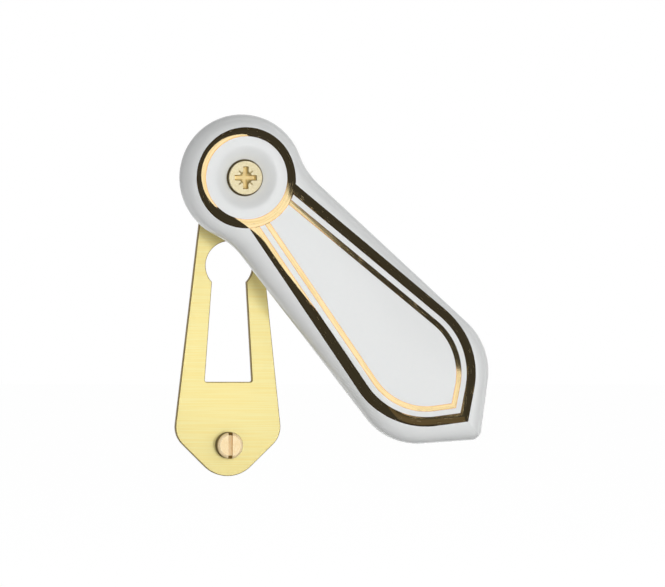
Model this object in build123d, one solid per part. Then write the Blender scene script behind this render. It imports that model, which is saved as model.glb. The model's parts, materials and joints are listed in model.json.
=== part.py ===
"""Keyhole escutcheon: a brass plate with a porcelain cover that swings aside on its upper screw.

Sizes are in millimetres. Every piece is drawn lying on its back, with the plate's back face at
z = 0, the front upwards and the top towards +y, so the pivot axis is the z axis. At the end the
whole is stood up as it is fixed to a door: the front faces -Y, +Z is up and X is to the right.
"""

import math
import os

from build123d import *

# Back plate, stamped from brass sheet. Drops are measured down from the pivot.
plate_thk = 1.0
plate_top_half = 4.0
plate_shoulder_half = 8.55
plate_tip_drop = 48.7
plate_point_rise = 8.3
plate_shoulder_blend = 3.8
plate_tip_blend = 5.2
plate_edge_break = 0.1

# Keyhole: a round for the key's stem over a slot that widens towards the bit's end
keyhole_drop = 13.75
keyhole_r = 3.8
slot_neck_half = 2.6
slot_foot_half = 3.8
slot_foot_drop = 31.95
slot_foot_blend = 0.3

# Porcelain cover, in its closed place: hanging straight down from the pivot. It is widest at the
# mould's parting line, with a round to the front of it and a drafted wall to the back. The back is
# drawn in by a share of the tip's blend, so that its outline keeps every edge.
cover_thk = 9.88
cover_round_r = 9.8
cover_side_half = 7.5
cover_shoulder_half = 11.45
cover_tip_drop = 55.9
cover_point_rise = 9.4
cover_neck_blend = 11.5
cover_shoulder_blend = 10.5
cover_tip_blend = 1.5
cover_front_round = 4.0
cover_wall_land = 0.05
cover_back_share = 0.9
cover_back_round = 1.5
cover_swing_deg = 43.35

# Dish round the pivot, sunk in the cover's front: a faint slope at the rim, then a steeper one
dish_rim_r = 5.35
dish_knee_r = 4.45
dish_knee_depth = 0.25
dish_depth = 1.58

# Pivot screw, a countersunk wood screw with a cross recess
pivot_head_r = 2.58
pivot_head_rim = 0.6
pivot_shank_r = 1.42
pivot_core_r = 1.0
pivot_length = 30.0
pivot_thread_top = 0.0
pivot_head_stand = 0.9
recess_half = 1.75
recess_width = 0.85
recess_depth = 1.25
recess_draft_deg = 9.0
pit_half = 1.0
pit_depth = 0.7
pit_draft_deg = 30.0
tick_reach = 1.5
tick_width = 0.18
tick_depth = 0.12

# Fixing screw, a slotted cheese-head wood screw, placed up from the plate's tip
fixing_rise = 6.9
fixing_head_r = 2.07
fixing_head_height = 1.9
fixing_head_round = 0.4
fixing_shank_r = 1.2
fixing_core_r = 0.85
fixing_length = 12.7
fixing_thread_top = -0.4
drive_slot_width = 0.68
drive_slot_depth = 0.8
drive_saw_r = 4.8

# Point of either screw, as lengths of its core's radius
screw_point_ratio = 2.6

# Pivot bush, a turned sleeve with a thick collar, riveted in the plate
bush_sleeve_r = 2.2
bush_collar_r = 3.5
bush_spigot_r = 1.95
bush_mouth_land = 0.2

# Fits between the pieces
cover_running_clearance = 0.08
cover_back_clearance = 0.05
head_pass_clearance = 0.4
head_side_clearance = 0.2
head_under_clearance = 0.35
screw_clearance = 0.08
seating_clearance = 0.02
fixing_clearance = 0.1


def turned(profile):
    """A solid of revolution about the pivot axis from (radius, height) points."""
    section = make_face(Plane.XZ * Polyline(*profile, close=True))
    return revolve(section, Axis.Z)


def near(shape, y, reach=0.05):
    """The sketch's corners at height y."""
    return [v for v in shape.vertices() if abs(v.Y - y) < reach]


# Heights of the stack, up from the plate's back face. The cover passes over the fixing screw's head,
# so the bush's collar holds it clear of that.
plate_front = plate_thk
fixing_head_base = plate_front + seating_clearance
fixing_head_top = fixing_head_base + fixing_head_height
cover_back = fixing_head_top + head_pass_clearance
collar_top = cover_back - cover_back_clearance
cover_front = cover_back + cover_thk
dish_floor = cover_front - dish_depth
pivot_head_top = dish_floor + pivot_head_stand

# Back plate: tapered sides tangent to the round top, blended shoulders and a rounded point
plate_shoulder_drop = plate_tip_drop - plate_point_rise
plate_slope = (plate_shoulder_half - plate_top_half) / plate_shoulder_drop
plate_top_r = plate_top_half * math.cos(math.atan(plate_slope))
plate_outline = make_face(
    Polyline(
        (plate_top_half, 0),
        (plate_shoulder_half, -plate_shoulder_drop),
        (0, -plate_tip_drop),
        (-plate_shoulder_half, -plate_shoulder_drop),
        (-plate_top_half, 0),
        close=True,
    )
)
plate_outline = fillet(near(plate_outline, -plate_shoulder_drop), plate_shoulder_blend)
plate_outline = fillet(near(plate_outline, -plate_tip_drop), plate_tip_blend)
plate_outline += Circle(plate_top_r)

slot = make_face(
    Polyline(
        (slot_neck_half, -keyhole_drop),
        (slot_foot_half, -slot_foot_drop),
        (-slot_foot_half, -slot_foot_drop),
        (-slot_neck_half, -keyhole_drop),
        close=True,
    )
)
slot = fillet(near(slot, -slot_foot_drop), slot_foot_blend)
keyhole = Pos(0, -keyhole_drop) * Circle(keyhole_r) + slot

back_plate = extrude(plate_outline - keyhole, plate_thk)
back_plate = chamfer(back_plate.faces().sort_by(Axis.Z)[-1].edges(), plate_edge_break)

# The plate's pivot hole takes the bush's spigot, its lower hole the fixing screw's shank
fixing_drop = plate_tip_drop - fixing_rise
back_plate -= extrude(Circle(bush_spigot_r + seating_clearance), plate_thk)
back_plate -= Pos(0, -fixing_drop) * extrude(Circle(fixing_shank_r + fixing_clearance), plate_thk)

# Pivot bush: spigot through the plate, collar on its front, sleeve up to the screw head's cone
head_cone_top = pivot_head_top - pivot_head_rim
bush_mouth_r = bush_sleeve_r - bush_mouth_land
bush_top = head_cone_top - (pivot_head_r - bush_mouth_r) - seating_clearance
bush_bore_r = pivot_shank_r + screw_clearance
pivot_bush = turned(
    [
        (bush_bore_r, 0),
        (bush_spigot_r, 0),
        (bush_spigot_r, plate_front),
        (bush_collar_r, plate_front),
        (bush_collar_r, collar_top),
        (bush_sleeve_r, collar_top),
        (bush_sleeve_r, bush_top),
        (bush_mouth_r, bush_top),
        (bush_bore_r, bush_top - (bush_mouth_r - bush_bore_r)),
    ]
)

# Porcelain cover: round end, waisted neck, widening blade and blunt point in one outline
cover_shoulder_drop = cover_tip_drop - cover_point_rise
cover_outline = Circle(cover_round_r) + make_face(
    Polyline(
        (cover_side_half, 0),
        (cover_shoulder_half, -cover_shoulder_drop),
        (0, -cover_tip_drop),
        (-cover_shoulder_half, -cover_shoulder_drop),
        (-cover_side_half, 0),
        close=True,
    )
)
neck_corners = cover_outline.vertices().group_by(Axis.Y)[-1]
cover_outline = fillet(neck_corners, cover_neck_blend)
cover_outline = fillet(near(cover_outline, -cover_shoulder_drop), cover_shoulder_blend)
cover_outline = fillet(near(cover_outline, -cover_tip_drop), cover_tip_blend)
back_outline = offset(cover_outline, -cover_back_share * cover_tip_blend)
face_thk = cover_front_round + cover_wall_land
parting = Pos(0, 0, cover_front - face_thk)
cover_face = parting * extrude(cover_outline, face_thk)
cover_face = fillet(cover_face.edges().group_by(Axis.Z)[-1], cover_front_round)
cover_wall = loft([Pos(0, 0, cover_back) * back_outline.face(), parting * cover_outline.face()], ruled=True)
cover_wall = fillet(cover_wall.edges().group_by(Axis.Z)[0], cover_back_round)
swing_cover = cover_face + cover_wall

# Dish sloping down to the screw's head, its faint outer slope run on past the front
head_well_r = pivot_head_r + head_side_clearance
dish_knee = cover_front - dish_knee_depth
dish_mouth = cover_front + dish_knee_depth
swing_cover -= turned(
    [
        (0, dish_floor),
        (head_well_r, dish_floor),
        (dish_knee_r, dish_knee),
        (2 * dish_rim_r - dish_knee_r, dish_mouth),
        (0, dish_mouth),
    ]
)

# Way through the cover: a running fit on the bush, countersunk clear of the screw's head
cover_bore_r = bush_sleeve_r + cover_running_clearance
well_cone_top = head_cone_top - head_under_clearance
swing_cover -= turned(
    [
        (0, cover_back),
        (cover_bore_r, cover_back),
        (cover_bore_r, well_cone_top - (head_well_r - cover_bore_r)),
        (head_well_r, well_cone_top),
        (head_well_r, cover_front),
        (0, cover_front),
    ]
)
swing_cover = Rot(0, 0, cover_swing_deg) * swing_cover


def wood_screw(head, shank_r, core_r, end, thread_top):
    """A wood screw from its head's (radius, height) points down: plain shank, core and point."""
    point = screw_point_ratio * core_r
    return turned(
        [
            *head,
            (shank_r, thread_top + (shank_r - core_r)),
            (core_r, thread_top),
            (core_r, end + point),
            (0, end),
        ]
    )


# Pivot screw: a 90 degree cone under its head, and a tapered cross recess whose inner corners are cut back by a
# square pit set across them, with four fine ticks between its arms
pivot_head = [
    (0, pivot_head_top),
    (pivot_head_r, pivot_head_top),
    (pivot_head_r, head_cone_top),
    (pivot_shank_r, head_cone_top - (pivot_head_r - pivot_shank_r)),
]
pivot_end = pivot_head_top - pivot_length
pivot_screw = wood_screw(pivot_head, pivot_shank_r, pivot_core_r, pivot_end, pivot_thread_top)
cross = Rectangle(2 * recess_half, recess_width) + Rectangle(recess_width, 2 * recess_half)
pivot_screw -= Pos(0, 0, pivot_head_top) * extrude(cross, -recess_depth, taper=recess_draft_deg)
pit = Rot(0, 0, 45) * Rectangle(2 * pit_half, 2 * pit_half)
pivot_screw -= Pos(0, 0, pivot_head_top) * extrude(pit, -pit_depth, taper=pit_draft_deg)
tick = Box(2 * tick_reach, tick_width, 2 * tick_depth)
for turn in (45, 135):
    pivot_screw -= Pos(0, 0, pivot_head_top) * Rot(0, 0, turn) * tick

# Fixing screw: its head stands on the plate, with softened rim and an upright slot sunk by a round saw
rim_slant = fixing_head_round * (1 - math.sqrt(0.5))
fixing_head = [
    (0, fixing_head_top),
    (fixing_head_r - fixing_head_round, fixing_head_top),
    (fixing_head_r - rim_slant, fixing_head_top - rim_slant),
    (fixing_head_r, fixing_head_top - fixing_head_round),
    (fixing_head_r, fixing_head_base),
    (fixing_shank_r, fixing_head_base),
]
fixing_end = fixing_head_base - fixing_length
fixing_screw = wood_screw(fixing_head, fixing_shank_r, fixing_core_r, fixing_end, fixing_thread_top)
saw = Rot(0, 90, 0) * Cylinder(drive_saw_r, drive_slot_width)
fixing_screw -= Pos(0, 0, fixing_head_top - drive_slot_depth + drive_saw_r) * saw
fixing_screw = Pos(0, -fixing_drop) * fixing_screw

# Stood up as it is fixed: what lay upwards now faces -Y
os.makedirs("parts", exist_ok=True)
stand = Plane.XZ.location
export_step(stand * back_plate, "parts/back_plate.step")
export_step(stand * pivot_bush, "parts/pivot_bush.step")
export_step(stand * swing_cover, "parts/swing_cover.step")
export_step(stand * pivot_screw, "parts/pivot_screw.step")
export_step(stand * fixing_screw, "parts/fixing_screw.step")
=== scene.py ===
"""Keyhole escutcheon: a brushed brass plate with a gilt-lined porcelain cover that swings on its upper screw.

Lengths inside each section are in millimetres, in the row frame: X to the right, Z up, and the front
facing -Y, with the pivot axis through the origin. The meshes are put in metres as they are made.
"""

import json
import math

import bmesh
import bpy
import numpy as np
from mathutils import Matrix, Vector


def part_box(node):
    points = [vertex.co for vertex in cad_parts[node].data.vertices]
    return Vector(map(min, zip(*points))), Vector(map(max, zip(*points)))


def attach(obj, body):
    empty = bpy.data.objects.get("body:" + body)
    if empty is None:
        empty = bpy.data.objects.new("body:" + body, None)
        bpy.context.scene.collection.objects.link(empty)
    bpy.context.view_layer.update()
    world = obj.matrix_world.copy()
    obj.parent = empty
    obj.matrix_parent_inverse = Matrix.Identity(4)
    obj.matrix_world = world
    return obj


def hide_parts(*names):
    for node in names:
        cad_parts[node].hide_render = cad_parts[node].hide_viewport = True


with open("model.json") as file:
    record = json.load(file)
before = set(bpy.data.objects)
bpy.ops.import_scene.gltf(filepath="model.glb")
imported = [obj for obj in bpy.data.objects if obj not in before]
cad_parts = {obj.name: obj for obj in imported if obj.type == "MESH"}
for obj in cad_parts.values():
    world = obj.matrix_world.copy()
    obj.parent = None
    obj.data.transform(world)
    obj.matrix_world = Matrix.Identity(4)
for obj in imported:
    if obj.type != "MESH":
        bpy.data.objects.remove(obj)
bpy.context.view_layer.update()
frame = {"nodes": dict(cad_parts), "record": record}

mm = 0.001

# Back plate: flat brass sheet, stamped to its outline and keyhole, then brushed from side to side and
# lacquered, which leaves it a pale straw colour. The two screws hold it to the door.


def srgb(code):
    """The linear colour of an sRGB hex value: the standard curve, with its straight foot below 0.04045."""
    parts = np.array([int(code[i:i + 2], 16) for i in (1, 3, 5)]) / 255
    linear = np.where(parts <= 0.04045, parts / 12.92, ((parts + 0.055) / 1.055) ** 2.4)
    return (*linear.tolist(), 1.0)


def wire(tree, made, inputs):
    """Sets each named input of a node, or links it to another node's output."""
    for name, value in inputs.items():
        if isinstance(value, bpy.types.NodeSocket):
            tree.links.new(value, made.inputs[name])
        else:
            made.inputs[name].default_value = value


def node(tree, kind, inputs=None, **settings):
    """Adds a node with its settings and its inputs."""
    made = tree.nodes.new(kind)
    for name, value in settings.items():
        setattr(made, name, value)
    wire(tree, made, inputs or {})
    return made


def new_material(name):
    """A new material, with its node tree and its shader."""
    made = bpy.data.materials.new(name)
    made.use_nodes = True
    return made, made.node_tree, made.node_tree.nodes["Principled BSDF"]


def clad(name, material):
    """Gives a CAD node its material, in every slot that it has."""
    for held in frame["nodes"][name].material_slots:
        held.material = material


# Satin brass: the brushing and the lacquer scatter part of the light, so the sheet isn't a full mirror. Its
# fine level scratches hardly show, though they are drawn coarser than real ones. Its rim is dull where the
# press sheared it, and its colour there is darkened as painted shade along the edges.
scratch_gap = 0.12
scratch_run = 9.0
plate_brass, tree, shader = new_material("brushed_brass_sheet")
place = node(tree, "ShaderNodeTexCoord")
brushed = node(tree, "ShaderNodeMapping", {
    "Vector": place.outputs["Object"],
    "Scale": (1 / (scratch_run * mm), 1 / (scratch_gap * mm), 1 / (scratch_gap * mm)),
})
scratches = node(tree, "ShaderNodeTexNoise", {
    "Vector": brushed.outputs["Vector"], "Scale": 1.0, "Detail": 2.0,
})
tone = node(tree, "ShaderNodeValToRGB", {"Fac": scratches.outputs["Fac"]})
tone.color_ramp.elements[0].position = 0.3
tone.color_ramp.elements[0].color = srgb("#FFEA98")
tone.color_ramp.elements[1].position = 0.7
tone.color_ramp.elements[1].color = srgb("#FFF4AE")
facing = node(tree, "ShaderNodeSeparateXYZ", {"Vector": place.outputs["Normal"]})
square = node(tree, "ShaderNodeMath", {0: facing.outputs["Y"]}, operation="ABSOLUTE")
# The sheared rim turns rough, and its colour is darkened there as painted shade along the edges.
sheared_and_shaded = node(tree, "ShaderNodeMapRange", {
    "Value": square.outputs["Value"], "From Min": 0.95, "From Max": 0.75,
})
colour = node(tree, "ShaderNodeMix", {
    0: sheared_and_shaded.outputs["Result"], 6: tone.outputs["Color"], 7: srgb("#9A8244"),
}, data_type="RGBA")
sheen = node(tree, "ShaderNodeMapRange", {"Value": sheared_and_shaded.outputs["Result"], "To Min": 0.2, "To Max": 0.5})
relief = node(tree, "ShaderNodeBump", {
    "Height": scratches.outputs["Fac"], "Strength": 0.1, "Distance": 0.005 * mm,
})
wire(tree, shader, {
    "Metallic": 0.35,
    "Base Color": colour.outputs[2],
    "Roughness": sheen.outputs["Result"],
    "Normal": relief.outputs["Normal"],
})
clad("back_plate", plate_brass)

# Pivot bush: a sleeve turned from brass bar, on which the cover swings. Its thick collar keeps the cover off
# the plate, its spigot sits in the plate's hole, and the pivot screw draws it home.

# Turned brass: a bright metal with rings round its axis, which the lathe left. They are drawn coarser than
# real ones. The wave node's phase runs on by 20 radians in each unit of its scaled coordinates.
ring_gap = 0.754
wave_rate = 20
bush_brass, tree, shader = new_material("turned_brass")
place = node(tree, "ShaderNodeTexCoord")
rings = node(tree, "ShaderNodeTexWave", {
    "Vector": place.outputs["Object"],
    "Scale": 2 * math.pi / (wave_rate * ring_gap * mm),
    "Distortion": 0.4,
}, wave_type="RINGS", rings_direction="Y")
colour = node(tree, "ShaderNodeMix", {
    0: rings.outputs["Fac"], 6: srgb("#DFC07A"), 7: srgb("#EBD08E"),
}, data_type="RGBA")
sheen = node(tree, "ShaderNodeMapRange", {"Value": rings.outputs["Fac"], "To Min": 0.2, "To Max": 0.34})
relief = node(tree, "ShaderNodeBump", {
    "Height": rings.outputs["Fac"], "Strength": 0.2, "Distance": 0.01 * mm,
})
wire(tree, shader, {
    "Metallic": 1.0,
    "Base Color": colour.outputs[2],
    "Roughness": sheen.outputs["Result"],
    "Normal": relief.outputs["Normal"],
})
clad("pivot_bush", bush_brass)

# Swing cover: one pressing of white porcelain, glazed and fired, with a dish for the screw's head.
# It hangs on the bush and is shown swung aside. A rounded shoulder runs all the way round its face to the
# mould's parting line, a drafted wall from there to the flat back, which stood in the kiln unglazed.
cover_low, cover_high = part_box("swing_cover")
cover_front = -cover_low.y / mm
cover_back = -cover_high.y / mm
swing = math.radians(43.35)
round_r = 9.8
side_half = 7.5
shoulder_half = 11.45
tip_drop = 55.9
point_rise = 9.4
neck_blend = 11.5
shoulder_blend = 10.5
tip_blend = 1.5
front_round = 4.0
back_inset = 1.35
back_round = 1.5
dish_slope = 0.8
dish_reach = 4.755
dish_softness = 0.2
dish_edge = 5.8
well_r = 2.78
bore_r = 2.28
well_depth = 1.63


def unit(vector):
    """The vector at length 1."""
    return np.asarray(vector) / np.hypot(*vector)


def corner_blend(before, corner, after, radius):
    """Centre and touching points of the arc that rounds a corner: it touches each leg at the radius over
    the tangent of half the corner's angle."""
    back_leg = unit(np.subtract(before, corner))
    next_leg = unit(np.subtract(after, corner))
    half_angle = math.acos(back_leg @ next_leg) / 2
    touch = radius / math.tan(half_angle)
    centre = corner + unit(back_leg + next_leg) * radius / math.sin(half_angle)
    return centre, corner + back_leg * touch, corner + next_leg * touch


# Right half of the outline, in (along, across), where along runs from the pivot to the tip.
# Each stretch is its start, its end and, for an arc, its centre.
shoulder = np.array([tip_drop - point_rise, shoulder_half])
tip = np.array([tip_drop, 0.0])
down_side = unit(shoulder - [0, side_half])
off_side = np.array([-down_side[1], down_side[0]])
neck_off = side_half * down_side[0] + neck_blend
neck_centre = neck_off * off_side + math.sqrt((round_r + neck_blend) ** 2 - neck_off ** 2) * down_side
neck_top = unit(neck_centre) * round_r
neck_foot = neck_centre - off_side * neck_blend
shoulder_centre, shoulder_top, shoulder_foot = corner_blend([0, side_half], shoulder, tip, shoulder_blend)
tip_centre, tip_top, _ = corner_blend(shoulder, tip, shoulder * [1, -1], tip_blend)
outline = [
    (np.array([-round_r, 0.0]), neck_top, np.zeros(2)),
    (neck_top, neck_foot, neck_centre),
    (neck_foot, shoulder_top, None),
    (shoulder_top, shoulder_foot, shoulder_centre),
    (shoulder_foot, tip_top, None),
    (tip_top, tip_centre + [tip_blend, 0.0], tip_centre),
]


def arc_sweep(start, end, centre):
    """Radius and first angle of an arc, and its turn from start to end taken the short way."""
    arms = np.stack([start - centre, end - centre])
    first, last = np.arctan2(arms[:, 1], arms[:, 0])
    turn = (last - first + math.pi) % (2 * math.pi) - math.pi
    return np.hypot(*arms[0]), first, turn


edge_step = 0.22
arc_steps_least = 10


def stretch_points(start, end, centre):
    """Evenly spaced points of one stretch without its end, and the way into the cover from each: square to a
    straight side, and along the radius of an arc, away from the centre where the arc is hollow."""
    if centre is None:
        leg = end - start
        share = np.linspace(0, 1, math.ceil(np.hypot(*leg) / edge_step), endpoint=False)[:, None]
        return start + share * leg, np.broadcast_to(unit([leg[1], -leg[0]]), (len(share), 2))
    radius, first, turn = arc_sweep(start, end, centre)
    count = max(arc_steps_least, math.ceil(radius * abs(turn) / edge_step))
    angle = first + turn * np.linspace(0, 1, count, endpoint=False)
    arm = np.stack([np.cos(angle), np.sin(angle)], -1)
    return centre + radius * arm, arm if centre[1] > start[1] else -arm


def inset(along, across):
    """Distance of points inside the cover from its outline: the least of |r - R| to each arc, within its
    turn, and of the square distance to each straight side, within its length, both with a little slack."""
    slack = 1e-3
    spot = np.stack([along, np.abs(across)], -1)
    least = np.full(spot.shape[:-1], np.inf)
    for start, end, centre in outline:
        arm = spot - (start if centre is None else centre)
        if centre is None:
            leg = unit(end - start)
            share = arm @ leg / np.hypot(*(end - start))
            gap = np.abs(arm[..., 0] * leg[1] - arm[..., 1] * leg[0])
        else:
            radius, first, turn = arc_sweep(start, end, centre)
            angle = np.arctan2(arm[..., 1], arm[..., 0]) - first - turn / 2
            share = 0.5 + ((angle + math.pi) % (2 * math.pi) - math.pi) / turn
            gap = np.abs(np.hypot(arm[..., 0], arm[..., 1]) - radius)
        least = np.where((share > -slack) & (share < 1 + slack), np.minimum(least, gap), least)
    return least


def round_drop(short, radius):
    """How far a round falls off its flat face at a point that lies short of that face's edge by so much:
    R - sqrt(R^2 - short^2)."""
    return radius - np.sqrt(radius ** 2 - np.clip(short, 0, radius) ** 2)


def face_height(along, across):
    """Height of the cover's face off the door: the front less the shoulder's drop, or less the dish's drop,
    a straight slope with a soft rim, whichever is more."""
    inwards = (dish_reach - np.hypot(along, across)) / dish_softness
    dish_drop = dish_slope * dish_softness * np.logaddexp(0, inwards)
    return cover_front - np.maximum(round_drop(front_round - inset(along, across), front_round), dish_drop)


# The wall's slope, and the insets between which the back's round touches it and the flat back.
parting = cover_front - front_round
draft = math.atan2(back_inset, parting - cover_back)
back_touch = (parting - cover_back - back_round * (1 - math.sin(draft))) * math.tan(draft)
back_flat = back_touch + back_round * math.cos(draft)


def rear_height(along, across):
    """Height of the cover's wall and back off the door: the parting level less inset / tan(draft) down to the
    round's touching point, then the round's rise off the flat back."""
    deep = inset(along, across)
    wall = parting - deep / math.tan(draft)
    return np.where(deep < back_touch, wall, cover_back + round_drop(back_flat - deep, back_round))


def cover_points(along, across, height):
    """Points given along and across the cover and by height off the door, as row points in metres."""
    right = along * math.sin(swing) + across * math.cos(swing)
    up = across * math.sin(swing) - along * math.cos(swing)
    return np.stack([right, -height, up], -1) * mm


def grid_quads(rows, columns, closed=False):
    """Quads over vertices stored row by row, with each row's end joined to its start if it is closed."""
    row, column = np.mgrid[0:rows - 1, 0:columns - (not closed)]
    here = row * columns + column
    beside = row * columns + (column + 1) % columns
    return np.stack([here, beside, beside + columns, here + columns], -1).reshape(-1, 4)


def join_grids(grids):
    """Points and quads of several grids of points (rows, columns, 3), each open, as one list of each."""
    points = np.concatenate([grid.reshape(-1, 3) for grid in grids])
    first = np.cumsum([0] + [grid.shape[0] * grid.shape[1] for grid in grids])
    quads = np.concatenate([grid_quads(*grid.shape[:2]) + at for grid, at in zip(grids, first)])
    return points, quads


def mesh_piece(name, points, quads, material, stroke=None):
    """A piece from points and quads: doubles are merged, faces turned outwards and bends under the crease
    angle shaded smooth. stroke, if given, is kept on the points for patterns that follow a painted line: how
    far along the line, how far across it, and how far from its edges."""
    weld_gap = 0.001
    crease = math.radians(35)
    mesh = bpy.data.meshes.new(name)
    mesh.from_pydata(points.tolist(), [], quads.tolist())
    if stroke is not None:
        held = mesh.attributes.new("stroke", "FLOAT_VECTOR", "POINT")
        held.data.foreach_set("vector", stroke.ravel())
    shape = bmesh.new()
    shape.from_mesh(mesh)
    bmesh.ops.remove_doubles(shape, verts=shape.verts, dist=weld_gap * mm)
    bmesh.ops.recalc_face_normals(shape, faces=shape.faces)
    shape.to_mesh(mesh)
    shape.free()
    mesh.shade_smooth()
    mesh.set_sharp_from_angle(angle=crease)
    mesh.materials.append(material)
    piece = bpy.data.objects.new(name, mesh)
    bpy.context.scene.collection.objects.link(piece)
    return piece


# Lines run in from the outline. Round the pivot they end on a ring about the dish, and down the blade they
# end on the middle line, where the way in from the edge meets it, eased in from the ring.
blade_start = 14.0
spine_easing = 18.0
traced = [stretch_points(*stretch) for stretch in outline]
edge = np.concatenate([points for points, _ in traced] + [outline[-1][1][None]])
way_in = np.concatenate([ways for _, ways in traced] + [[[-1.0, 0.0]]])
travel = np.concatenate([[0], np.cumsum(np.hypot(*np.diff(edge, axis=0).T))])
round_count = len(traced[0][0])
ring_count = int(np.argmax(edge[:, 0] > blade_start))
bearing = np.arctan2(edge[:, 1], edge[:, 0])
swept = (travel[ring_count] - travel) / (travel[ring_count] - travel[round_count])
bearing = np.where(np.arange(len(edge)) < round_count, bearing, bearing[round_count] * np.clip(swept, 0, 1))
meets = edge[:, 0] - edge[:, 1] * way_in[:, 0] / np.minimum(way_in[:, 1], -1e-6)
meets = np.maximum.accumulate(np.minimum(np.where(travel > travel[ring_count], meets, 0), tip_centre[0]))
eased = np.clip((travel - travel[ring_count]) / spine_easing, 0, 1)
eased = eased ** 2 * (3 - 2 * eased)
on_ring = np.arange(len(edge)) <= ring_count
inner = np.where(
    on_ring[:, None],
    dish_edge * np.stack([np.cos(bearing), np.sin(bearing)], -1),
    np.stack([dish_edge + (meets - dish_edge) * eased, np.zeros(len(edge))], -1),
)


def rows_inwards(insets, flat_rows):
    """Points on each line from the outline inwards: at the given insets, drawn together where the line is
    short, and then evenly to the line's inner end."""
    most_of_line = 0.9
    length = np.hypot(*(inner - edge).T)
    reach = np.minimum(insets[-1], most_of_line * length)
    over_edge = reach * insets[:, None] / insets[-1]
    over_flat = reach + (length - reach) * np.linspace(0, 1, flat_rows + 1)[1:, None]
    step = np.concatenate([over_edge, over_flat]) / length
    spot = edge + step[..., None] * (inner - edge)
    return spot[..., 0], spot[..., 1]


# Rows over a round are spaced by its tilt, so that they lie evenly along its curve.
shoulder_rows = 36
face_rows = 14
wall_rows = 5
back_round_rows = 14
back_rows = 6
shoulder_tilt = np.linspace(math.pi / 2, 0, shoulder_rows)
back_tilt = np.linspace(math.pi / 2 - draft, 0, back_round_rows)
wall_insets = np.linspace(0, back_touch, wall_rows)
rear_insets = np.concatenate([wall_insets, back_flat - back_round * np.sin(back_tilt[1:])])
face_along, face_across = rows_inwards(front_round * (1 - np.sin(shoulder_tilt)), face_rows)
rear_along, rear_across = rows_inwards(rear_insets, back_rows)
shell_along = np.concatenate([face_along[::-1], rear_along])
shell_across = np.concatenate([face_across[::-1], rear_across])
shell_height = np.concatenate([
    face_height(face_along, face_across)[::-1], rear_height(rear_along, rear_across),
])

# Way through the cover: dish, well for the screw's head, its cone, bore, and back face, ring by ring.
dish_rows = 28
back_ring_rows = 5
dish_r = np.linspace(dish_edge, well_r, dish_rows)
back_r = np.linspace(bore_r, dish_edge, back_ring_rows)
ring_r = np.concatenate([dish_r, [well_r, bore_r], back_r])
well_foot = cover_front - well_depth
ring_bearing = bearing[:ring_count + 1]
through_along = ring_r[:, None] * np.cos(ring_bearing)
through_across = ring_r[:, None] * np.sin(ring_bearing)
through_height = np.full_like(through_along, cover_back)
through_height[:dish_rows] = face_height(through_along[:dish_rows], through_across[:dish_rows])
through_height[dish_rows] = well_foot
through_height[dish_rows + 1] = well_foot - (well_r - bore_r)

# Glazed porcelain: white body under a clear gloss that lies in faint waves, and a matt back. Its edge round
# the screw's head, and the well below it, are darkened as painted shade. The specks in the body are drawn
# coarser than real ones.
glaze_wave = 5.0
body_speck = 0.5
glaze_end = 0.12
glaze_gone = 0.02
shade_start = 0.13
shade_full = 0.05
porcelain, tree, shader = new_material("glazed_porcelain")
place = node(tree, "ShaderNodeTexCoord")
depth = node(tree, "ShaderNodeSeparateXYZ", {"Vector": place.outputs["Object"]})
bare = node(tree, "ShaderNodeMapRange", {
    "Value": depth.outputs["Y"],
    "From Min": -(cover_back + glaze_end) * mm,
    "From Max": -(cover_back + glaze_gone) * mm,
})
specks = node(tree, "ShaderNodeTexNoise", {
    "Vector": place.outputs["Object"], "Scale": 1 / (body_speck * mm), "Detail": 2.0,
})
glazed = node(tree, "ShaderNodeMix", {
    0: specks.outputs["Fac"], 6: srgb("#EBEDED"), 7: srgb("#EEEFEE"),
}, data_type="RGBA")
biscuit = node(tree, "ShaderNodeMix", {
    0: specks.outputs["Fac"], 6: srgb("#DAD5CB"), 7: srgb("#E9E5DC"),
}, data_type="RGBA")
body = node(tree, "ShaderNodeMix", {
    0: bare.outputs["Result"], 6: glazed.outputs[2], 7: biscuit.outputs[2],
}, data_type="RGBA")
about = node(tree, "ShaderNodeMapping", {"Vector": place.outputs["Object"], "Scale": (1.0, 0.0, 1.0)})
off_axis = node(tree, "ShaderNodeVectorMath", {0: about.outputs["Vector"]}, operation="LENGTH")
# Painted shade: dark in the well and round the screw's head.
gap_shade = node(tree, "ShaderNodeMapRange", {
    "Value": off_axis.outputs["Value"],
    "From Min": (well_r + shade_start) * mm,
    "From Max": (well_r + shade_full) * mm,
})
colour = node(tree, "ShaderNodeMix", {
    0: gap_shade.outputs["Result"], 6: body.outputs[2], 7: srgb("#6A5E46"),
}, data_type="RGBA")
gloss = node(tree, "ShaderNodeMapRange", {"Value": bare.outputs["Result"], "To Min": 0.08, "To Max": 0.6})
waves = node(tree, "ShaderNodeTexNoise", {
    "Vector": place.outputs["Object"], "Scale": 1 / (glaze_wave * mm), "Detail": 1.0,
})
relief = node(tree, "ShaderNodeBump", {
    "Height": waves.outputs["Fac"], "Strength": 0.3, "Distance": 0.03 * mm,
})
wire(tree, shader, {
    "IOR": 1.5,
    "Base Color": colour.outputs[2],
    "Roughness": gloss.outputs["Result"],
    "Normal": relief.outputs["Normal"],
})

half_grids = [(shell_along, shell_across, shell_height), (through_along, through_across, through_height)]
points, quads = join_grids([
    cover_points(along, side * across, height) for side in (1, -1) for along, across, height in half_grids
])
cover = mesh_piece("porcelain_cover", points, quads, porcelain)
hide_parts("swing_cover")
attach(cover, "cover")

# Gilt lines: burnish gold painted on the fired glaze with a lining brush and fired again.
# A ring stands round the dish, and a broad line with a fine one inside it runs round the blade.
gilt_ring = (6.4, 7.8)
broad_line = (0.0, 1.5)
fine_line = (2.33, 3.18)
gilt_side_half = 4.16
gilt_shoulder = np.array([44.27, 10.44])
gilt_tip = np.array([51.8, 0.0])
gilt_round = 12.9
gilt_film = 0.02
gilt_join = 0.05
rows_across = 9
side_points = 100
bend_points = 48
tip_points = 16
ring_points = 241

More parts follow.
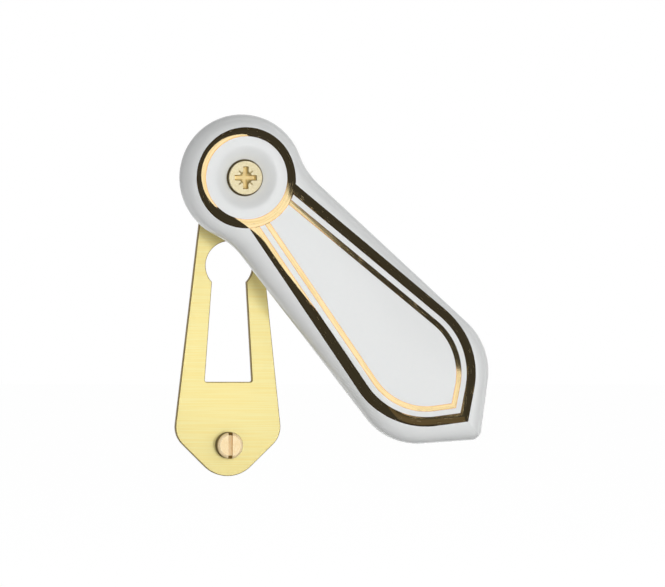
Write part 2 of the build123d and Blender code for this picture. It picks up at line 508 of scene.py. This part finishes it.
gilt_centre, gilt_top, gilt_foot = corner_blend([0, gilt_side_half], gilt_shoulder, gilt_tip, gilt_round)
gilt_side = unit(gilt_shoulder - [0, gilt_side_half])
gilt_edge = unit(gilt_tip - gilt_shoulder)


def gilt_path(offset):
    """Right half of a line drawn at an offset inside the broad line's outer edge, and how far along it each
    point is: a straight side from the ring, an arc of the same centre and a straight edge to the middle."""
    radius, first, turn = arc_sweep(gilt_top, gilt_foot, gilt_centre)
    angle = first + turn * np.linspace(0, 1, bend_points)
    bend = gilt_centre + (radius - offset) * np.stack([np.cos(angle), np.sin(angle)], -1)
    run = bend[0] @ gilt_side
    ring = gilt_ring[1] - gilt_join
    back = run - math.sqrt(run ** 2 - bend[0] @ bend[0] + ring ** 2)
    side = bend[0] - back * np.linspace(1, 0, side_points, endpoint=False)[:, None] * gilt_side
    share = np.linspace(0, 1, tip_points + 1)[1:, None]
    to_tip = bend[-1] - bend[-1][1] / gilt_edge[1] * share * gilt_edge
    path = np.concatenate([side, bend, to_tip])
    return path, np.concatenate([[0], np.cumsum(np.hypot(*np.diff(path, axis=0).T))])


gilt_grids = []
gilt_strokes = []
for low, high in (broad_line, fine_line):
    offsets = np.linspace(low, high, rows_across)
    drawn = [gilt_path(offset) for offset in offsets]
    along, across = np.moveaxis(np.stack([path for path, _ in drawn]), -1, 0)
    run = np.stack([length for _, length in drawn])
    across_line = np.broadcast_to(offsets[:, None], run.shape)
    from_edge = np.minimum(across_line - low, high - across_line)
    height = face_height(along, across) + gilt_film
    for side in (1, -1):
        gilt_grids.append(cover_points(along, side * across, height))
        gilt_strokes.append(np.stack([run, across_line, from_edge], -1))
ring_rows = np.linspace(*gilt_ring, rows_across)
radius, angle = np.meshgrid(ring_rows, np.linspace(0, 2 * math.pi, ring_points), indexing="ij")
along, across = radius * np.cos(angle), radius * np.sin(angle)
gilt_grids.append(cover_points(along, across, face_height(along, across) + gilt_film))
from_edge = np.minimum(radius - gilt_ring[0], gilt_ring[1] - radius)
gilt_strokes.append(np.stack([angle * gilt_ring[1], radius, from_edge], -1))

# Burnish gold: a thin bright metal that takes its colour from what it mirrors. It has faint brush streaks,
# turns rosy where the film thins out at the edges of a line, and is dulled in short slanting scratches where
# it was rubbed. Streaks and scratches are drawn coarser than real ones.
streak_run = 7.0
streak_gap = 0.35
scuff_run = 1.8
scuff_gap = 0.09
scuff_slant = math.radians(32)
thin_edge = 0.16
gold, tree, shader = new_material("burnish_gold")
painted = node(tree, "ShaderNodeAttribute", attribute_name="stroke")
brushed = node(tree, "ShaderNodeMapping", {
    "Vector": painted.outputs["Vector"],
    "Scale": (1 / streak_run, 1 / streak_gap, 0.0),
})
streaks = node(tree, "ShaderNodeTexNoise", {"Vector": brushed.outputs["Vector"], "Scale": 1.0, "Detail": 3.0})
tone = node(tree, "ShaderNodeValToRGB", {"Fac": streaks.outputs["Fac"]})
tone.color_ramp.elements[0].position = 0.3
tone.color_ramp.elements[0].color = srgb("#E1C58C")
tone.color_ramp.elements[1].position = 0.65
tone.color_ramp.elements[1].color = srgb("#ECD6A6")
across_film = node(tree, "ShaderNodeSeparateXYZ", {"Vector": painted.outputs["Vector"]})
thick = node(tree, "ShaderNodeMapRange", {"Value": across_film.outputs["Z"], "From Max": thin_edge})
colour = node(tree, "ShaderNodeMix", {
    0: thick.outputs["Result"], 6: srgb("#E0AE80"), 7: tone.outputs["Color"],
}, data_type="RGBA")
polish = node(tree, "ShaderNodeMapRange", {"Value": streaks.outputs["Fac"], "To Min": 0.06, "To Max": 0.02})
rubbed = node(tree, "ShaderNodeMapping", {
    "Vector": painted.outputs["Vector"],
    "Rotation": (0.0, 0.0, scuff_slant),
    "Scale": (1 / scuff_run, 1 / scuff_gap, 0.0),
})
scuffs = node(tree, "ShaderNodeTexNoise", {"Vector": rubbed.outputs["Vector"], "Scale": 1.0, "Detail": 1.0})
dulled = node(tree, "ShaderNodeMapRange", {
    "Value": scuffs.outputs["Fac"], "From Min": 0.64, "From Max": 0.77, "To Max": 0.4,
})
sheen = node(tree, "ShaderNodeMath", {0: polish.outputs["Result"], 1: dulled.outputs["Result"]})
relief = node(tree, "ShaderNodeBump", {
    "Height": streaks.outputs["Fac"], "Strength": 0.06, "Distance": 0.01 * mm,
})
wire(tree, shader, {
    "Metallic": 1.0,
    "Base Color": colour.outputs[2],
    "Roughness": sheen.outputs["Value"],
    "Normal": relief.outputs["Normal"],
})

points, quads = join_grids(gilt_grids)
stroke = np.concatenate([grid.reshape(-1, 3) for grid in gilt_strokes])
gilt = mesh_piece("gilt_lines", points, quads, gold, stroke)
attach(gilt, "cover")

# Pivot screw: a countersunk brass wood screw with a cross recess, driven home on the bush.
# Its head is milled flat and bright, and its rolled thread bites in the wood behind the plate.


def screw_metal(name, pale, bright, shade_colours, axis_up, top, depths, radii):
    """Screw brass: the milled face is bright metal in grains from pale to bright, drawn coarser than real
    ones, and what is cut, turned or sunk scatters the light. Between the first and the last of three depths
    below its top, the head is drawn in painted shade from the first radius about its axis, where the shade
    begins, past the second, where it is full. The painted shade goes from its first colour to its second by
    the middle depth."""
    grain_size = 0.25
    shade_ramp = 0.06
    heights = [top - depth for depth in depths]
    metal, tree, shader = new_material(name)
    place = node(tree, "ShaderNodeTexCoord")
    grain = node(tree, "ShaderNodeTexNoise", {
        "Vector": place.outputs["Object"], "Scale": 1 / (grain_size * mm), "Detail": 3.0,
    })
    tone = node(tree, "ShaderNodeValToRGB", {"Fac": grain.outputs["Fac"]})
    tone.color_ramp.elements[0].position = 0.3
    tone.color_ramp.elements[0].color = srgb(pale)
    tone.color_ramp.elements[1].position = 0.65
    tone.color_ramp.elements[1].color = srgb(bright)
    depth = node(tree, "ShaderNodeSeparateXYZ", {"Vector": place.outputs["Object"]})
    about = node(tree, "ShaderNodeMapping", {
        "Vector": place.outputs["Object"], "Location": (0.0, 0.0, -axis_up * mm), "Scale": (1.0, 0.0, 1.0),
    })
    off_axis = node(tree, "ShaderNodeVectorMath", {0: about.outputs["Vector"]}, operation="LENGTH")
    reached = node(tree, "ShaderNodeMapRange", {
        "Value": off_axis.outputs["Value"], "From Min": radii[0] * mm, "From Max": radii[1] * mm,
    })
    sunk = node(tree, "ShaderNodeMapRange", {
        "Value": depth.outputs["Y"],
        "From Min": -heights[0] * mm,
        "From Max": -(heights[0] - shade_ramp) * mm,
    })
    in_head = node(tree, "ShaderNodeMath", {
        0: depth.outputs["Y"], 1: -heights[2] * mm,
    }, operation="LESS_THAN")
    below = node(tree, "ShaderNodeMath", {
        0: sunk.outputs["Result"], 1: in_head.outputs["Value"],
    }, operation="MULTIPLY")
    share = node(tree, "ShaderNodeMath", {
        0: below.outputs["Value"], 1: reached.outputs["Result"],
    }, operation="MULTIPLY")
    deeper = node(tree, "ShaderNodeMapRange", {
        "Value": depth.outputs["Y"], "From Min": -heights[0] * mm, "From Max": -heights[1] * mm,
    })
    # Painted shade: the colour that stands in for shade in a recess or on a head's side.
    shade_tone = node(tree, "ShaderNodeMix", {
        0: deeper.outputs["Result"], 6: srgb(shade_colours[0]), 7: srgb(shade_colours[1]),
    }, data_type="RGBA")
    colour = node(tree, "ShaderNodeMix", {
        0: share.outputs["Value"], 6: tone.outputs["Color"], 7: shade_tone.outputs[2],
    }, data_type="RGBA")
    facing = node(tree, "ShaderNodeSeparateXYZ", {"Vector": place.outputs["Normal"]})
    square = node(tree, "ShaderNodeMath", {0: facing.outputs["Y"]}, operation="ABSOLUTE")
    turned = node(tree, "ShaderNodeMapRange", {
        "Value": square.outputs["Value"], "From Min": 0.99, "From Max": 0.92,
    })
    worked = node(tree, "ShaderNodeMath", {
        0: turned.outputs["Result"], 1: sunk.outputs["Result"],
    }, operation="MAXIMUM")
    sheen = node(tree, "ShaderNodeMapRange", {
        "Value": worked.outputs["Value"], "To Min": 0.14, "To Max": 0.5,
    })
    bared = node(tree, "ShaderNodeMapRange", {
        "Value": worked.outputs["Value"], "To Min": 0.65, "To Max": 0.1,
    })
    relief = node(tree, "ShaderNodeBump", {
        "Height": grain.outputs["Fac"], "Strength": 0.25, "Distance": 0.01 * mm,
    })
    wire(tree, shader, {
        "Metallic": bared.outputs["Result"],
        "Base Color": colour.outputs[2],
        "Roughness": sheen.outputs["Result"],
        "Normal": relief.outputs["Normal"],
    })
    return metal


# The cross recess is drawn dark at its mouth as painted shade, and paler than the face further down.
pivot_low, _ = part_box("pivot_screw")
pivot_metal = screw_metal(
    "bright_screw_brass", pale="#D6C99C", bright="#EBDFBC", shade_colours=("#857030", "#F3E0A8"),
    axis_up=0.0, top=-pivot_low.y / mm, depths=(0.04, 0.8, 1.3), radii=(1.85, 1.75),
)
clad("pivot_screw", pivot_metal)


def thread(name, mount, crest_r, pitch, point_length, metal):
    """A wood screw's thread: a ridge of four corners carried along a helix about the mount's axis, its foot
    sunk in the core. Its height is eased in and out over a turn at each end, and falls off along the point
    as the core's radius does. The ridge's corners are in shares of the pitch."""
    turn_steps = 28
    sunk = 0.03
    lip = 0.02
    thinnest = 0.01
    ridge = np.array([-0.3, -0.05, 0.05, 0.3])
    narrowest = 0.05
    point_share = 0.9
    point_crest = 0.35
    core_r = mount["dims"]["r_mm"]
    straight = mount["dims"]["length_mm"]
    middle = np.array(mount["pos_m"]) / mm
    length = straight + point_share * point_length
    turn = np.arange(0, length / pitch, 1 / turn_steps)[:, None]
    depth = turn * pitch
    taper = np.clip((straight + point_length - depth) / point_length, 0, 1)
    ease = np.clip(turn, 0, 1) * np.clip((length - depth) / pitch, 0, 1)
    foot = np.maximum(core_r * taper - sunk, thinnest)
    crest = foot + lip + (crest_r - core_r + sunk - lip) * ease * np.minimum(1, point_crest + taper)
    radius = np.concatenate([foot, crest, crest, foot], 1)
    angle = 2 * math.pi * turn
    right = middle[0] + radius * np.cos(angle)
    into_door = middle[1] + depth + pitch * ridge * np.clip(ease, narrowest, 1)
    up = middle[2] + radius * np.sin(angle)
    spot = np.stack([right, into_door, up], -1)
    quads = grid_quads(len(turn), len(ridge), closed=True)
    last = len(ridge) * (len(turn) - 1)
    caps = np.array([[3, 2, 1, 0], [last, last + 1, last + 2, last + 3]])
    piece = mesh_piece(name, spot.reshape(-1, 3) * mm, np.concatenate([quads, caps]), metal)
    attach(piece, "plate")


mounts = {mount["name"]: mount for mount in frame["record"]["mounts"]}
thread(
    "pivot_screw_thread", mounts["pivot_thread"],
    crest_r=1.42, pitch=1.3, point_length=2.6, metal=pivot_metal,
)

# Fixing screw: a slotted brass wood screw whose cheese head stands on the plate's lower end.
# Its face is milled, its side is turned and drawn dark as painted shade, and its rolled thread bites
# in the wood.
fixing_low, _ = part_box("fixing_screw")
# The head's side is drawn dark brown as painted shade.
fixing_metal = screw_metal(
    "rosy_screw_brass", pale="#EFD3A0", bright="#FAE4BA", shade_colours=("#76591C", "#624A18"),
    axis_up=mounts["fixing_thread"]["pos_m"][2] / mm,
    top=-fixing_low.y / mm, depths=(0.3, 1.0, 1.95), radii=(1.55, 1.65),
)
clad("fixing_screw", fixing_metal)
thread(
    "fixing_screw_thread", mounts["fixing_thread"],
    crest_r=1.2, pitch=1.05, point_length=2.21, metal=fixing_metal,
)

# Studio: a white room with a pale floor, and soft lamps at the front, the right and the back. White cards
# stand in dark flags before the object and show only in reflections, so the gilding is bright where it
# mirrors a card and dark where it mirrors the flags.


def emitter(name, colour, strength):
    """A plain glowing surface."""
    made, tree, _ = new_material(name)
    tree.nodes.clear()
    glow = node(tree, "ShaderNodeEmission", {"Color": srgb(colour), "Strength": strength})
    node(tree, "ShaderNodeOutputMaterial", {"Surface": glow.outputs["Emission"]})
    return made


def stage_piece(name, points, faces, material, mirrored_only):
    """A stage surface from points in mm, seen only in reflections if mirrored_only."""
    mesh = bpy.data.meshes.new(name)
    mesh.from_pydata((np.array(points) * mm).tolist(), [], faces)
    mesh.materials.append(material)
    made = bpy.data.objects.new(name, mesh)
    bpy.context.scene.collection.objects.link(made)
    if mirrored_only:
        made.visible_camera = False
        made.visible_diffuse = False
        made.visible_shadow = False
        made.visible_transmission = False


card_off = -150.0


def card(name, corners, material):
    """A flat card that stands before the object, from its corners to the right and up."""
    points = [(x, card_off, z) for x, z in corners]
    stage_piece(name, points, [tuple(range(len(points)))], material, mirrored_only=True)


# White card: a round sheet with a notch and a foot at its lower right. Its outline is drawn so that
# the ring and the lines are bright and dark where the photograph shows them so.
card_centre = (-11.0, 20.0)
card_r = 67.0
card_turn = np.radians(np.linspace(50, 263, 46))
card_round = card_centre + card_r * np.stack([np.cos(card_turn), np.sin(card_turn)], -1)
card_foot = [
    (-11, -42), (24, -6), (25, -11), (8, -34), (3, -44), (21, -48), (24, -66), (34, -61), (60, -41.9),
    (68.6, -41.5), (68.9, -34.5), (60, -29), (45.2, -11.4), (38, -4.8), (37.2, -3.2), (36, 1), (38, 8),
]
white = emitter("white_card", "#FFFFFF", strength=1.25)
card("white_card", [*card_round.tolist(), *card_foot], white)

# Low card, for gold that slopes away to the lower right, and a dim one under the white card's foot.
low_corners = [(110, -75), (190, -62), (200, 10), (330, 10), (330, -260), (110, -260)]
card("low_card", low_corners, white)
dim_corners = [(15, -70), (45, -60), (60, -47), (80, -46), (82, -135), (20, -125)]
card("dim_card", dim_corners, emitter("grey_card", "#FFF0D8", strength=0.13))

# Dark flags: a cloth behind the cards and four round the object's sides, clear of the floor.
flag_half = 400.0
flag_near = card_off - 10.0
flag_far = 70.0
flag_low = -110.0
corners = [(-flag_half, flag_low), (flag_half, flag_low), (flag_half, flag_half), (-flag_half, flag_half)]
flag_points = [(x, y, z) for y in (flag_near, flag_far) for x, z in corners]
flag_faces = [(0, 1, 2, 3)] + [(i, (i + 1) % 4, (i + 1) % 4 + 4, i + 4) for i in range(4)]
black = emitter("black_cloth", "#FFFFFF", strength=0.05)
stage_piece("dark_flags", flag_points, flag_faces, black, mirrored_only=True)

# Pale floor: matt paint that keeps the object's shadow and shows nearly white to the camera.
floor_level = -120.0
floor_half = 2500.0
floor_glow = 0.85
floor_points = [
    (-floor_half, -floor_half, floor_level), (floor_half, -floor_half, floor_level),
    (floor_half, floor_half, floor_level), (-floor_half, floor_half, floor_level),
]
floor_paint, tree, _ = new_material("pale_floor")
tree.nodes.clear()
light = node(tree, "ShaderNodeLightPath")
seen = node(tree, "ShaderNodeMath", {0: light.outputs["Is Camera Ray"], 1: light.outputs["Is Glossy Ray"]})
glow = node(tree, "ShaderNodeMath", {0: seen.outputs["Value"], 1: floor_glow}, operation="MULTIPLY")
matt = node(tree, "ShaderNodeBsdfDiffuse", {"Color": srgb("#EDEDED")})
lit = node(tree, "ShaderNodeEmission", {"Color": srgb("#FFFFFF"), "Strength": glow.outputs["Value"]})
both = node(tree, "ShaderNodeAddShader", {0: matt.outputs["BSDF"], 1: lit.outputs["Emission"]})
node(tree, "ShaderNodeOutputMaterial", {"Surface": both.outputs["Shader"]})
stage_piece("floor", floor_points, [(0, 1, 2, 3)], floor_paint, mirrored_only=False)

# White room: white to the camera, in reflections and through what is clear, and a low fill light otherwise.
room_fill = 0.165
world = bpy.data.worlds.new("white_room")
bpy.context.scene.world = world
world.use_nodes = True
tree = world.node_tree
tree.nodes.clear()
light = node(tree, "ShaderNodeLightPath")
seen = node(tree, "ShaderNodeMath", {0: light.outputs["Is Camera Ray"], 1: light.outputs["Is Glossy Ray"]})
through = node(tree, "ShaderNodeMath", {0: seen.outputs["Value"], 1: light.outputs["Is Transmission Ray"]})
level = node(tree, "ShaderNodeMapRange", {
    "Value": through.outputs["Value"], "To Min": room_fill, "To Max": 1.0,
})
sky = node(tree, "ShaderNodeBackground", {"Color": srgb("#FFFFFF"), "Strength": level.outputs["Result"]})
node(tree, "ShaderNodeOutputWorld", {"Surface": sky.outputs["Background"]})

lamp_aim = Vector((12.0, -5.0, -22.0))
lamp_distance = 700.0


def lamp(name, direction, width, power):
    """A square soft lamp that faces the object from a direction, and doesn't show in reflections."""
    light = bpy.data.lights.new(name, "AREA")
    light.size = width * mm
    light.energy = power
    made = bpy.data.objects.new(name, light)
    bpy.context.scene.collection.objects.link(made)
    aim = Vector(direction).normalized()
    made.location = (lamp_aim + aim * lamp_distance) * mm
    made.rotation_euler = aim.to_track_quat("Z", "Y").to_euler()
    made.visible_glossy = False
    made.visible_camera = False


lamp("key_softbox", (-0.1, -0.98, 0.09), width=220.0, power=2.4)
lamp("right_softbox", (0.64, -0.77, 0.1), width=450.0, power=1.0)
lamp("back_softbox", (0.1, 1.0, 0.3), width=450.0, power=2.2)

# Camera: the photograph's viewing angle, from a little to the left and above, through a long lens.
# It stands a little to the right of the object's middle and above it, as the photograph frames it.
azimuth, elevation, roll = np.radians([-13.0, 1.18, 0.48])
target = np.array([10.0, -5.0, -22.0])
aim_right, aim_up = 5.5026, 3.998
distance = 1044.0
back = np.array([
    math.sin(azimuth) * math.cos(elevation), -math.cos(azimuth) * math.cos(elevation), math.sin(elevation),
])
right = np.array([math.cos(azimuth), math.sin(azimuth), 0.0])
up = np.cross(back, right)
right, up = right * math.cos(roll) + up * math.sin(roll), up * math.cos(roll) - right * math.sin(roll)
spot = (target + aim_right * right + aim_up * up + distance * back) * mm
turned = np.eye(4)
turned[:3] = np.stack([right, up, back, spot], -1)
lens = bpy.data.cameras.new("camera")
lens.sensor_width = 36.0
lens.lens = 362.6
camera = bpy.data.objects.new("camera", lens)
camera.matrix_world = Matrix(turned.tolist())
bpy.context.scene.collection.objects.link(camera)
bpy.context.scene.camera = camera
bpy.context.scene.view_settings.view_transform = "Standard"
